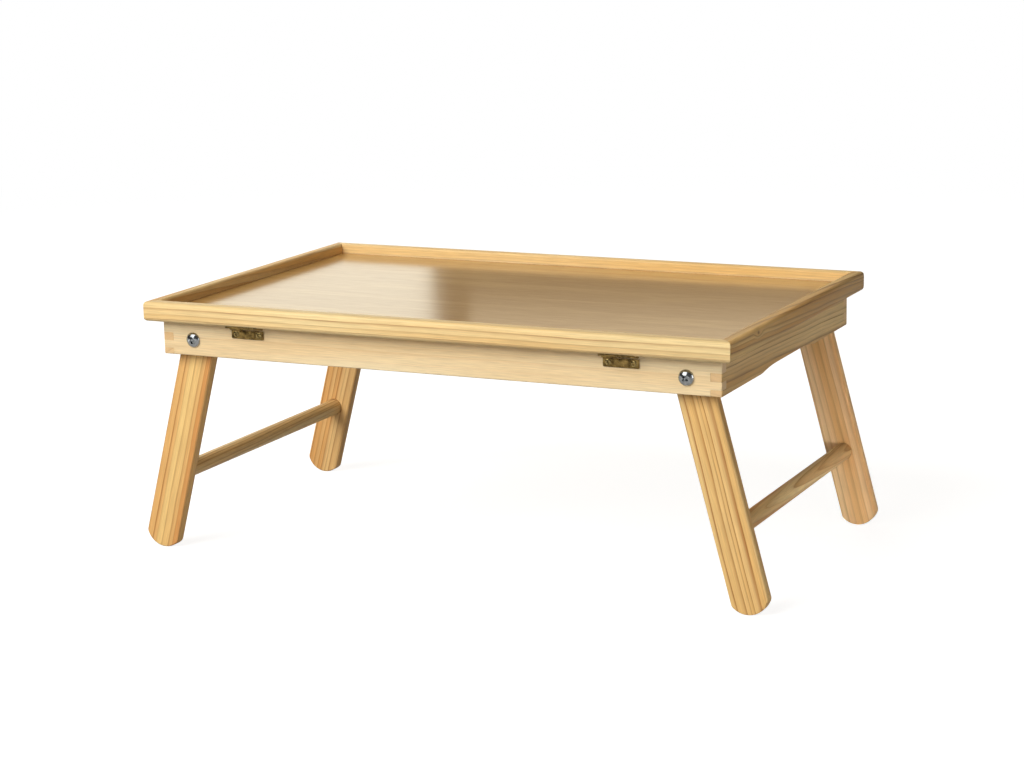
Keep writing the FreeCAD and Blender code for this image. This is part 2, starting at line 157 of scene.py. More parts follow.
def pine(name, centre, turn, **changes):
    look = {**pineLook, **changes}
    material, tree = newMaterial(name)
    place = add(tree, "ShaderNodeTexCoord")
    grainTurn = [math.radians(t + d) for t, d in zip(turn, look["tilt"])]
    board = add(tree, "ShaderNodeMapping", {
        "Vector": place.outputs["Object"], "Location": centre, "Rotation": grainTurn, "Scale": (mm, mm, mm),
    }, vector_type="TEXTURE").outputs[0]

    def grainNoise(offset, along, across, detail, roughness=0.5):
        at = add(tree, "ShaderNodeMapping", {
            "Vector": board, "Location": (look["seed"] + offset, offset, 0.0),
            "Scale": (1 / along, 1 / across, 1 / across)})
        return add(tree, "ShaderNodeTexNoise", {
            "Vector": at.outputs[0], "Scale": 1.0, "Detail": detail, "Roughness": roughness})

    wanderNoise = grainNoise(**grainNoises["wander"])
    wanderCentred = add(tree, "ShaderNodeVectorMath", {
        0: wanderNoise.outputs["Color"], 1: (0.5, 0.5, 0.5)}, operation="SUBTRACT")
    wander = add(tree, "ShaderNodeVectorMath", {
        0: wanderCentred.outputs[0], 1: (0.0, look["wander"], look["wander"]), 2: board},
        operation="MULTIPLY_ADD")
    fromPith = add(tree, "ShaderNodeVectorMath", {
        0: wander.outputs[0], 1: look["pith"]}, operation="SUBTRACT")
    section = add(tree, "ShaderNodeVectorMath", {
        0: fromPith.outputs[0], 1: (0.0, 1.0, 1.0)}, operation="MULTIPLY")
    radius = add(tree, "ShaderNodeVectorMath", {0: section.outputs[0]}, operation="LENGTH").outputs["Value"]

    knotCore = None
    for knotPlace, knotRadius in look["knots"]:
        fromKnot = add(tree, "ShaderNodeVectorMath", {0: board, 1: knotPlace}, operation="SUBTRACT")
        scaled = add(tree, "ShaderNodeVectorMath", {
            0: fromKnot.outputs[0], 1: (0.6 / knotRadius, 1 / knotRadius, 1 / knotRadius)},
            operation="MULTIPLY")
        reach = add(tree, "ShaderNodeVectorMath", {0: scaled.outputs[0]}, operation="LENGTH").outputs["Value"]
        push = add(tree, "ShaderNodeMapRange", {
            "Value": reach, "From Max": look["knotReach"], "To Max": 0.0,
            "To Min": look["ringWidth"] * look["knotPush"]}, interpolation_type="SMOOTHERSTEP")
        radius = add(tree, "ShaderNodeMath", {0: radius, 1: push.outputs[0]}).outputs[0]
        core = add(tree, "ShaderNodeMapRange", {
            "Value": reach, "From Min": 0.3, "To Min": 1.0, "To Max": 0.0,
        }, interpolation_type="SMOOTHSTEP").outputs[0]
        if knotCore is not None:
            core = add(tree, "ShaderNodeMath", {0: knotCore, 1: core}, operation="MAXIMUM").outputs[0]
        knotCore = core

    rings = add(tree, "ShaderNodeMath", {0: radius, 1: look["ringWidth"]}, operation="DIVIDE")
    driftAt = add(tree, "ShaderNodeMath", {0: rings.outputs[0], 1: 0.37, 2: look["seed"]},
                  operation="MULTIPLY_ADD")
    drift = add(tree, "ShaderNodeTexNoise", {"W": driftAt.outputs[0], "Scale": 1.0, "Detail": 1.0},
                noise_dimensions="1D")
    counted = add(tree, "ShaderNodeMath", {
        0: drift.outputs[0], 1: look["ringDrift"], 2: rings.outputs[0]}, operation="MULTIPLY_ADD")
    ringIndex = add(tree, "ShaderNodeMath", {0: counted.outputs[0]}, operation="FLOOR")
    inRing = add(tree, "ShaderNodeMath", {0: counted.outputs[0]}, operation="FRACT")
    ringSeed = add(tree, "ShaderNodeMath", {0: ringIndex.outputs[0], 1: look["seed"]})
    strength = add(tree, "ShaderNodeTexWhiteNoise", {"W": ringSeed.outputs[0]}, noise_dimensions="1D")
    strengthRange = add(tree, "ShaderNodeMapRange", {
        "Value": strength.outputs["Value"], "To Min": 0.3, "To Max": 1.0})
    profile = add(tree, "ShaderNodeValToRGB", {"Fac": inRing.outputs[0]})
    setRamp(profile, [(share, gray(darkness)) for share, darkness in ringProfile])

    streak = grainNoise(**grainNoises["streak"])
    streakRange = add(tree, "ShaderNodeMapRange", {
        "Value": streak.outputs[0], "From Min": 0.3, "From Max": 0.7, "To Min": 0.55, "To Max": 1.0})
    fibre = grainNoise(**grainNoises["fibre"])
    patch = grainNoise(**grainNoises["patch"])
    patchRange = add(tree, "ShaderNodeMapRange", {
        "Value": patch.outputs[0], "From Min": 0.35, "From Max": 0.65})
    bandSeed = add(tree, "ShaderNodeMath", {0: ringSeed.outputs[0], 1: 31.7})
    band = add(tree, "ShaderNodeTexWhiteNoise", {"W": bandSeed.outputs[0]}, noise_dimensions="1D")
    tone = add(tree, "ShaderNodeMix", {
        0: look["bandTone"], 2: patchRange.outputs[0], 3: band.outputs["Value"]})

    lateOfRing = add(tree, "ShaderNodeMath", {0: profile.outputs[0], 1: strengthRange.outputs[0]},
                     operation="MULTIPLY")
    lateStreaked = add(tree, "ShaderNodeMath", {0: lateOfRing.outputs[0], 1: streakRange.outputs[0]},
                       operation="MULTIPLY")
    late = add(tree, "ShaderNodeMath", {0: lateStreaked.outputs[0], 1: look["lateShare"]},
               operation="MULTIPLY")
    spring = add(tree, "ShaderNodeMix", {
        0: tone.outputs[0], 6: hexColor(look["early"]), 7: hexColor(look["earlyWarm"])}, data_type="RGBA")
    ringed = add(tree, "ShaderNodeMix", {
        0: late.outputs[0], 6: spring.outputs[2], 7: hexColor(look["late"])}, data_type="RGBA")
    fibreTone = add(tree, "ShaderNodeMapRange", {
        "Value": fibre.outputs[0], "From Min": 0.3, "From Max": 0.7,
        "To Min": 1.0 - look["fibre"], "To Max": 1.0 + look["fibre"] * 0.4})
    fibred = add(tree, "ShaderNodeMix", {
        0: 1.0, 6: ringed.outputs[2], 7: fibreTone.outputs[0]}, data_type="RGBA", blend_type="MULTIPLY")

    along = Matrix.Rotation(math.radians(turn[2]), 3, "Z") @ Matrix.Rotation(math.radians(turn[1]), 3, "Y")
    facing = add(tree, "ShaderNodeVectorMath", {
        0: place.outputs["Normal"], 1: along @ Vector((1, 0, 0))}, operation="DOT_PRODUCT")
    endOn = add(tree, "ShaderNodeMath", {0: facing.outputs["Value"]}, operation="ABSOLUTE")
    endGrain = add(tree, "ShaderNodeMapRange", {
        "Value": endOn.outputs[0], "From Min": 0.75, "From Max": 0.95})
    cutEnd = add(tree, "ShaderNodeMix", {
        0: 0.7, 6: fibred.outputs[2], 7: hexColor(look["end"])}, data_type="RGBA")
    colour = add(tree, "ShaderNodeMix", {
        0: endGrain.outputs[0], 6: fibred.outputs[2], 7: cutEnd.outputs[2]}, data_type="RGBA").outputs[2]
    if knotCore is not None:
        colour = add(tree, "ShaderNodeMix", {
            0: knotCore, 6: colour, 7: hexColor(look["knotHeart"])}, data_type="RGBA").outputs[2]

    relief = add(tree, "ShaderNodeMath", {0: late.outputs[0], 1: 0.6, 2: fibre.outputs[0]},
                 operation="MULTIPLY_ADD")
    bump = add(tree, "ShaderNodeBump", {"Strength": 0.3, "Distance": 0.00012, "Height": relief.outputs[0]})
    rough = add(tree, "ShaderNodeMapRange", {
        "Value": fibre.outputs[0], "From Min": 0.3, "From Max": 0.7,
        "To Min": look["roughness"] - 0.06, "To Max": look["roughness"] + 0.08})
    shader = add(tree, "ShaderNodeBsdfPrincipled", {
        "Base Color": colour, "Roughness": rough.outputs[0], "Normal": bump.outputs[0],
        "Coat Weight": look["coat"], "Coat Roughness": 0.25, "IOR": 1.5})
    add(tree, "ShaderNodeOutputMaterial", {"Surface": shader.outputs[0]})
    return material


# Plywood faced with a plain sliced veneer and sprayed with satin lacquer: an even taupe sheet with
# short fine pores, that mirrors a bright wall softly at a low angle.
veneerLook = {
    "light": "#d0a866",
    "dark": "#ad8248",
    "figureLength": 260.0,
    "figureWidth": 40.0,
    "poreLength": 20.0,
    "poreWidth": 1.1,
    "figureTurns": 16.0,     # how often the broad noise goes from light to dark
    "figureShare": 0.35,     # share of the dark colour in the figure, and in the pores
    "poreShare": 0.65,
    "roughness": (0.13, 0.18),
}


def veneer(name, look):
    material, tree = newMaterial(name)
    place = add(tree, "ShaderNodeTexCoord")
    board = add(tree, "ShaderNodeMapping", {
        "Vector": place.outputs["Object"], "Scale": (mm, mm, mm)}, vector_type="TEXTURE").outputs[0]
    broadAt = add(tree, "ShaderNodeMapping", {
        "Vector": board, "Scale": (1 / look["figureLength"], 1 / look["figureWidth"], 1.0)})
    broad = add(tree, "ShaderNodeTexNoise", {
        "Vector": broadAt.outputs[0], "Scale": 1.0, "Detail": 2.0, "Distortion": 0.6})
    poreAt = add(tree, "ShaderNodeMapping", {
        "Vector": board, "Scale": (1 / look["poreLength"], 1 / look["poreWidth"], 1.0)})
    pore = add(tree, "ShaderNodeTexNoise", {
        "Vector": poreAt.outputs[0], "Scale": 1.0, "Detail": 4.0, "Roughness": 0.62})
    figurePhase = add(tree, "ShaderNodeMath", {0: broad.outputs[0], 1: look["figureTurns"]},
                      operation="MULTIPLY")
    figure = add(tree, "ShaderNodeMath", {0: figurePhase.outputs[0]}, operation="SINE")
    figureRange = add(tree, "ShaderNodeMapRange", {
        "Value": figure.outputs[0], "From Min": -1.0, "To Min": 0.0, "To Max": look["figureShare"]})
    poreRange = add(tree, "ShaderNodeMapRange", {
        "Value": pore.outputs[0], "From Min": 0.32, "From Max": 0.68, "To Max": look["poreShare"]})
    share = add(tree, "ShaderNodeMath", {0: figureRange.outputs[0], 1: poreRange.outputs[0]})
    colour = add(tree, "ShaderNodeMix", {
        0: share.outputs[0], 6: hexColor(look["light"]), 7: hexColor(look["dark"])}, data_type="RGBA")
    rough = add(tree, "ShaderNodeMapRange", {
        "Value": pore.outputs[0], "From Min": 0.3, "From Max": 0.7,
        "To Min": look["roughness"][0], "To Max": look["roughness"][1]})
    bump = add(tree, "ShaderNodeBump", {"Strength": 0.2, "Distance": 0.00005, "Height": pore.outputs[0]})
    shader = add(tree, "ShaderNodeBsdfPrincipled", {
        "Base Color": colour.outputs[2], "Roughness": rough.outputs[0], "Normal": bump.outputs[0],
        "IOR": 1.5})
    add(tree, "ShaderNodeOutputMaterial", {"Surface": shader.outputs[0]})
    return material


metalLooks = {
    # bright zinc plate: cool, almost mirror-like, with faint cloudy passivation
    "zincPlatedSteel": dict(base="#c6c9ca", stain="#94999b", cloud=2.5, roughness=0.16),
    # stamped brass that has tarnished: dark olive, brighter where it is rubbed
    "agedBrass": dict(base="#b8985a", stain="#574525", cloud=5.0, roughness=0.27),
    # brass-plated screws, a little cleaner than the leaves
    "brassPlatedScrew": dict(base="#d0b677", stain="#6b5630", cloud=1.6, roughness=0.2),
    # drawn wire, plain and softly bright
    "drawnSteelWire": dict(base="#bfc3c5", stain="#8b9094", cloud=6.0, roughness=0.24),
}


def metal(name):
    look = metalLooks[name]
    material, tree = newMaterial(name)
    place = add(tree, "ShaderNodeTexCoord")
    cloud = add(tree, "ShaderNodeTexNoise", {
        "Vector": place.outputs["Object"], "Scale": 1 / (look["cloud"] * mm), "Detail": 3.0})
    scratchAt = add(tree, "ShaderNodeMapping", {
        "Vector": place.outputs["Object"], "Scale": (400.0, 400.0, 3000.0)})
    scratch = add(tree, "ShaderNodeTexNoise", {"Vector": scratchAt.outputs[0], "Scale": 1.0, "Detail": 2.0})
    stain = add(tree, "ShaderNodeMapRange", {"Value": cloud.outputs[0], "From Min": 0.35, "From Max": 0.7})
    colour = add(tree, "ShaderNodeMix", {
        0: stain.outputs[0], 6: hexColor(look["base"]), 7: hexColor(look["stain"])}, data_type="RGBA")
    rough = add(tree, "ShaderNodeMapRange", {
        "Value": scratch.outputs[0], "From Min": 0.3, "From Max": 0.7,
        "To Min": look["roughness"] * 0.8, "To Max": look["roughness"] * 1.3})
    bump = add(tree, "ShaderNodeBump", {"Strength": 0.08, "Distance": 0.00003, "Height": scratch.outputs[0]})
    shader = add(tree, "ShaderNodeBsdfPrincipled", {
        "Base Color": colour.outputs[2], "Metallic": 1.0, "Roughness": rough.outputs[0],
        "Normal": bump.outputs[0]})
    add(tree, "ShaderNodeOutputMaterial", {"Surface": shader.outputs[0]})
    return material


def middle(node):
    low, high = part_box(node)
    return (low + high) / 2


def dress(node, material):
    mesh = frame["nodes"][node].data
    mesh.materials.clear()
    mesh.materials.append(material)


alongX, alongY = (0, 0, 0), (0, 0, 90)
splay = 15
downRight, downLeft = (0, 90 - splay, 0), (0, 90 + splay, 0)

boards = {
    "rim_front": dict(turn=alongX, pith=(0, 10, -70), ringWidth=4.6, seed=3.0, wander=3.0, lateShare=0.8,
                      early="#f9dfa4", earlyWarm="#eebf76"),
    "rim_back": dict(turn=alongX, pith=(0, -12, -64), ringWidth=4.0, seed=9.0, lateShare=0.5,
                     early="#fbe0a8", earlyWarm="#f2c880"),
    "rim_left": dict(turn=alongY, pith=(0, 40, -50), tilt=(0, 1.2, 1.5), ringWidth=4.4, seed=14.0,
                     lateShare=0.55, early="#f6d79a", earlyWarm="#ebb464"),
    "rim_right": dict(turn=alongY, pith=(0, -22, -46), tilt=(0, 2.4, 0.6), ringWidth=3.8, seed=21.0,
                      wander=6.0, lateShare=1.0, late="#7a4214", early="#e8c585", earlyWarm="#cb944e",
                      knots=(((-100, -5.2, 0), 2.4),)),
    "rail_front": dict(turn=alongX, pith=(0, 30, -150), ringWidth=6.5, seed=27.0, lateShare=0.25,
                       early="#f5dfb3", earlyWarm="#eecd98", late="#d09350", bandTone=0.35),
    "rail_back": dict(turn=alongX, pith=(0, -60, 30), tilt=(0, 0.6, 1.0), ringWidth=5.0, seed=33.0,
                      lateShare=0.6),
    "rail_left": dict(turn=alongY, pith=(0, 40, 50), tilt=(0, 1.5, 1.2), ringWidth=4.2, seed=40.0,
                      lateShare=0.8),
    "rail_right": dict(turn=alongY, pith=(0, -20, 60), tilt=(0, 2.0, -0.6), ringWidth=4.0, seed=47.0,
                       wander=5.0, lateShare=1.0, late="#7c4516", early="#eecf92", earlyWarm="#d8a65e"),
    "leg_front_left": dict(turn=downLeft, pith=(0, 24, 62), ringWidth=4.2, seed=52.0, lateShare=1.0,
                           early="#f6d086", earlyWarm="#dc9650", bandTone=0.9),
    "leg_back_left": dict(turn=downLeft, pith=(0, -20, 70), ringWidth=4.4, seed=58.0, lateShare=0.95,
                          early="#f0ca88", earlyWarm="#d99a50"),
    "leg_front_right": dict(turn=downRight, pith=(0, 16, -58), ringWidth=4.6, seed=63.0, lateShare=1.0,
                            early="#f3d08e", earlyWarm="#e3b368", bandTone=0.5),
    # painted light: this leg's wood is paler, with fainter summer lines, than the other legs, to stand in for
    # light that reaches it low from the front under the tray
    "leg_back_right": dict(turn=downRight, pith=(0, 30, -66), ringWidth=5.0, seed=71.0, lateShare=0.6,
                           early="#fcd9a0", earlyWarm="#efbb78"),
    "stretcher_left": dict(turn=alongY, pith=(0, 30, 26), tilt=(0, 1.0, 2.0), ringWidth=2.4, seed=77.0,
                           lateShare=1.0, bandTone=0.9),
    "stretcher_right": dict(turn=alongY, pith=(0, -30, 24), tilt=(0, 1.0, 2.0), ringWidth=2.4, seed=83.0,
                            lateShare=1.0, earlyWarm="#cf9450", bandTone=0.9),
    "prop_rack_left": dict(turn=alongY, pith=(0, 12, 40), ringWidth=3.6, seed=90.0),
    "prop_rack_right": dict(turn=alongY, pith=(0, 12, 44), ringWidth=3.6, seed=96.0),
}
woods = {}
for node, look in boards.items():
    woods[node] = pine("planedPine_" + node, middle(node), **look)
    dress(node, woods[node])
# The pegs are turned birch: paler than the pine, with hardly any rings.
dress("prop_pegs", pine("turnedBirch", middle("prop_pegs"), alongX, early="#ecd3a4", earlyWarm="#e4c48f",
                        lateShare=0.15, ringWidth=2.0, seed=5.0))
dress("tray_panel", veneer("satinVeneeredPly", veneerLook))
zinc, brass, screwBrass, wire = (metal(name) for name in metalLooks)
dress("pivot_washers", zinc)
dress("prop_bail", wire)
for side in ("left", "right"):
    dress("hinge_pin_" + side, brass)

print("legs")


def newPiece(name, shape, material, body, slotName, *nodes):
    mesh = bpy.data.meshes.new(name)
    bmesh.ops.recalc_face_normals(shape, faces=shape.faces)
    shape.to_mesh(mesh)
    shape.free()
    mesh.materials.append(material)
    piece = bpy.data.objects.new(name, mesh)
    bpy.context.scene.collection.objects.link(piece)
    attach(piece, body)
    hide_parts(*nodes)
    return piece


def smooth(piece, degrees=35):
    mesh = piece.data
    mesh.polygons.foreach_set("use_smooth", [True] * len(mesh.polygons))
    mesh.set_sharp_from_angle(angle=math.radians(degrees))


# Moves a counter-clockwise outline inwards.
def inset(outline, distance):
    moved = []
    for before, here, after in zip(outline[-1:] + outline[:-1], outline, outline[1:] + outline[:1]):
        first, second = (here - before).normalized(), (after - here).normalized()
        inward = Vector((-first.y - second.y, first.x + second.x)).normalized()
        moved.append(here + inward * distance / inward.dot(Vector((-first.y, first.x))))
    return moved


# Faces between closed rings of vertices that follow each other.
def bridge(shape, rings):
    for lower, upper in zip(rings, rings[1:]):
        count = len(lower)
        for i in range(count):
            j = (i + 1) % count
            shape.faces.new((lower[i], lower[j], upper[j], upper[i]))


# A flat bar of this outline with all its edges rounded. place(u, w, depth) puts a point.
def easedBar(shape, outline, thickness, edgeRound, place, steps=4):
    levels = []
    for k in range(steps + 1):
        angle = math.radians(90 * k / steps)
        levels.append((edgeRound * (1 - math.sin(angle)), edgeRound * (1 - math.cos(angle))))
    levels += [(distance, thickness - depth) for distance, depth in reversed(levels)]
    rings = [[shape.verts.new(place(p.x, p.y, depth)) for p in inset(outline, distance)]
             for distance, depth in levels]
    bridge(shape, rings)
    shape.faces.new(rings[0])
    shape.faces.new(rings[-1])


def arcPoints(centre, radius, start, end, steps):
    angles = [math.radians(start + (end - start) * k / steps) for k in range(steps + 1)]
    return [Vector((centre[0] + radius * math.cos(a), centre[1] + radius * math.sin(a))) for a in angles]


# A turned body. profile lists (radius, along); place(x, along, z) puts a point.
def turned(shape, profile, place, steps=48):
    rings = []
    for radius, along in profile:
        if radius == 0:
            rings.append([shape.verts.new(place(0, along, 0))] * steps)
            continue
        angles = [2 * math.pi * k / steps for k in range(steps)]
        rings.append([shape.verts.new(place(radius * math.cos(a), along, radius * math.sin(a)))
                      for a in angles])
    for lower, upper in zip(rings, rings[1:]):
        for i in range(steps):
            j = (i + 1) % steps
            corners = [lower[i], lower[j], upper[j], upper[i]]
            shape.faces.new(list(dict.fromkeys(corners)))


def carve(piece, cutterShapes):
    cutters = []
    for shape in cutterShapes:
        bmesh.ops.recalc_face_normals(shape, faces=shape.faces)
        mesh = bpy.data.meshes.new("cutter")
        shape.to_mesh(mesh)
        shape.free()
        cutter = bpy.data.objects.new("cutter", mesh)
        bpy.context.scene.collection.objects.link(cutter)
        cut = piece.modifiers.new("cut", "BOOLEAN")
        cut.operation, cut.solver, cut.object = "DIFFERENCE", "EXACT", cutter
        cutters.append(cutter)
    shown = piece.evaluated_get(bpy.context.evaluated_depsgraph_get())
    carved = bpy.data.meshes.new_from_object(shown)
    piece.modifiers.clear()
    piece.data = carved
    for cutter in cutters:
        bpy.data.objects.remove(cutter)


legShape = {
    "width": 30.0, "edgeRound": 1.2, "footRadius": 17.0, "footCorner": 6.0,
    "gap": 0.6, "gapDepth": 1.5,        # groove round a stretcher end, and its depth into the leg
    "grooveLap": 0.3, "overcut": 0.5,   # how far its cutter reaches into the dowel and out of the leg
}
pivots = {joint["child"]: Vector(joint["pos_m"]) / mm for joint in frame["joints"]}


def legOutline(look, pivotHeight):
    half, corner, foot = look["width"] / 2, look["footCorner"], look["footRadius"]
    reach = (pivotHeight - foot) / math.cos(math.radians(splay))
    drop = math.sqrt((foot - corner) ** 2 - (half - corner) ** 2)
    turn = math.degrees(math.atan2(drop, half - corner))
    corners = -reach - drop
    outline = arcPoints((0, 0), half, 0, 180, 24)
    outline += arcPoints((corner - half, corners), corner, 180, 180 + turn, 5)
    outline += arcPoints((0, -reach), foot, 180 + turn, 360 - turn, 12)[1:-1]
    outline += arcPoints((half - corner, corners), corner, 360 - turn, 360, 5)
    return outline


def makeLeg(end, side):
    node = "leg_%s_%s" % (end, side)
    body = "legs_" + side
    pivot = pivots[body]
    outward = 1 if side == "right" else -1
    low, high = (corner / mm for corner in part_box(node))
    sine, cosine = math.sin(math.radians(splay)), math.cos(math.radians(splay))

    def place(u, w, depth):
        across, down = u * cosine - w * sine, u * sine + w * cosine
        return Vector((outward * (abs(pivot.x) + across), low.y + depth, pivot.z + down)) * mm

    shape = bmesh.new()
    easedBar(shape, legOutline(legShape, pivot.z), high.y - low.y, legShape["edgeRound"], place)
    leg = newPiece(node + "_eased", shape, woods[node], body, "pine_leg", node)
    rodLow, rodHigh = (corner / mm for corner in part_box("stretcher_" + side))
    rod, rodRadius = (rodLow + rodHigh) / 2, (rodHigh.z - rodLow.z) / 2
    hole = bmesh.new()
    inner = high.y if end == "front" else low.y
    inwards = 1 if end == "front" else -1
    inside, outside = rodRadius - legShape["grooveLap"], rodRadius + legShape["gap"]
    deep, over = -legShape["gapDepth"], legShape["overcut"]
    turned(hole, [(inside, deep), (outside, deep), (outside, over), (inside, over), (inside, deep)],
           lambda u, along, w: Vector((rod.x + u, inner + inwards * along, rod.z + w)) * mm)
    bmesh.ops.remove_doubles(hole, verts=hole.verts, dist=1e-7)
    carve(leg, [hole])
    smooth(leg)


for side in ("left", "right"):
    for end in ("front", "back"):
        makeLeg(end, side)

print("bolts and nuts")


# A tapered cross, from just above a screw head down to the bottom of its recess.
def crossCutter(look, turn, place):
    shape = bmesh.new()
    rings = []
    for share, along in ((1.0, 0.6), (0.9, 0.0), (0.5, -look["crossDepth"])):
        arm, half = look["crossSpan"] / 2 * share, look["crossWidth"] / 2 * (0.4 + 0.6 * share)
        loop = []
        for quarter in range(4):
            a = math.radians(90 * quarter + turn)
            for u, w in ((arm, -half), (arm, half), (half, half)):
                loop.append(shape.verts.new(place(u * math.cos(a) - w * math.sin(a), along,
                                                  u * math.sin(a) + w * math.cos(a))))
        rings.append(loop)
    bridge(shape, rings)
    shape.faces.new(rings[0])
    shape.faces.new(rings[-1])
    return shape


boltLook = {
    "headRadius": 6.15, "headHeight": 3.4, "headEdge": 0.8, "edgeRound": 0.25,
    "crossSpan": 7.0, "crossWidth": 1.8, "crossDepth": 2.2, "turns": (8, 52, 24, 71),
    "shankRadius": 3.0, "length": 27.4, "threadPitch": 1.0, "threadDepth": 0.45, "threads": 9,
}
nutLook = {
    "acrossFlats": 10.0, "height": 5.0, "chamfer": 30.0,
    "collarRadius": 4.3, "collarHeight": 1.2, "collarEdge": 0.4, "bore": 3.0,
    "faceShare": 0.97, "leastDrop": 0.02,         # radius of the flat ends, and the chamfer in mid-flat
}
pivotX, pivotZ = pivots["legs_right"].x, pivots["legs_right"].z
pivotSpots = [(-pivotX, 1), (pivotX, 1), (-pivotX, -1), (pivotX, -1)]    # 1 in front, -1 at the back


def domeProfile(look, steps=8):
    radius, edge, height, ease = (look[key] for key in ("headRadius", "headEdge", "headHeight", "edgeRound"))
    rise = height - edge
    sphere = (radius ** 2 + rise ** 2) / (2 * rise)
    widest = math.asin((radius - ease) / sphere)
    profile = [(radius - ease, 0.0), (radius, ease), (radius, edge - ease)]
    for k in range(steps):
        angle = widest * (1 - k / steps)
        profile.append((sphere * math.sin(angle), height - sphere * (1 - math.cos(angle))))
    return profile + [(0, height)]


def makeBolts(look):
    railFace = -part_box("rail_front")[0].y / mm
    root, crest, pitch = look["shankRadius"] - look["threadDepth"], look["shankRadius"], look["threadPitch"]
    profile = [(0, -look["length"]), (root, -look["length"])]
    for k in range(look["threads"]):
        start = -look["length"] + k * pitch
        profile += [(crest, start + pitch / 2), (root, start + pitch)]
    profile += [(crest, profile[-1][1] + pitch / 2), (crest, 0.0)] + domeProfile(look)
    shape = bmesh.new()
    cutters = []
    for (x, front), turn in zip(pivotSpots, look["turns"]):
        def place(u, along, w):
            return Vector((x + u, -front * (railFace + along), pivotZ + w)) * mm

        turned(shape, profile, place)
        cutters.append(crossCutter(look, turn, lambda u, along, w: place(u, look["headHeight"] + along, w)))
    bolts = newPiece("pivot_bolts_cross_head", shape, zinc, "frame", "zinc_steel", "pivot_bolts")
    carve(bolts, cutters)
    smooth(bolts)


def makeNuts(look, steps=48):
    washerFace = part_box("pivot_nuts")[1].y / mm
    apothem = look["acrossFlats"] / 2
    face, bore, height = apothem * look["faceShare"], look["bore"], look["height"]
    collar, top, edge = look["collarRadius"], height + look["collarHeight"], look["collarEdge"]
    shape = bmesh.new()
    for x, front in pivotSpots:
        columns = []
        for k in range(steps):
            a = 2 * math.pi * k / steps
            flat = apothem / math.cos((a + math.pi / 6) % (math.pi / 3) - math.pi / 6)
            drop = max(flat - face, look["leastDrop"]) * math.tan(math.radians(look["chamfer"]))
            section = [(face, 0.0), (flat, drop), (flat, height - drop), (face, height), (collar, height),
                       (collar, top - edge), (collar - edge, top), (bore, top), (bore, 0.0)]
            columns.append([shape.verts.new(Vector((
                x + radius * math.cos(a), -front * (washerFace - along), pivotZ + radius * math.sin(a))) * mm)
                for radius, along in section])
        rings = list(zip(*columns))
        bridge(shape, rings + rings[:1])
    smooth(newPiece("pivot_nuts_chamfered", shape, zinc, "frame", "zinc_steel", "pivot_nuts"), 25)


makeBolts(boltLook)
makeNuts(nutLook)

print("hinges")

hingeLook = {
    "length": 29.0, "leafWidth": 9.0, "thickness": 1.0, "offset": 2.1, "corner": 0.9, "edgeRound": 0.2,
    "knuckleRadius": 2.0, "boreRadius": 1.08, "gap": 0.1, "knuckles": 3,
    "screwSpacing": 20.5, "countersink": 2.6, "sinkDepth": 1.4,
    "bossLength": 14.0, "bossHeight": 0.6,        # the pressed-out middle of a leaf
    "bossTop": 0.7, "bossFoot": 0.9,              # from the knuckles, and from the leaf's free edge
    "neckGap": 0.08,                              # knuckle to the flat of a leaf
    "rollEnd": 292, "rollSteps": 24,              # degrees that a leaf is rolled round its pin
    "rollLap": 0.6, "rollSkin": 0.02,             # how the roll's root lies in the flat
}
hingeScrewLook = {
    "head": 2.35, "dome": 0.4, "shank": 1.2, "length": 7.5, "taper": 1.6,
    "crossSpan": 2.7, "crossWidth": 0.75, "crossDepth": 0.8, "turns": (20, 65, 40, 5),
}
leafPlane = hingeLook["offset"] - hingeLook["thickness"]       # hinge axis to the bare face of a leaf
screwLine = -(hingeLook["leafWidth"] + hingeLook["knuckleRadius"]) / 2


# Puts a point of the lower leaf; the upper leaf is its mirror image, laid under the rim.
def hingePlace(leaf, side):
    low, high = (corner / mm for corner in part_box("hinge_pin_" + side))
    axis = (low + high) / 2
    if leaf == "lower":
        return lambda x, y, z: Vector((axis.x + x, axis.y + y, axis.z + z)) * mm
    return lambda x, y, z: Vector((axis.x + x, axis.y + z, axis.z + y)) * mm


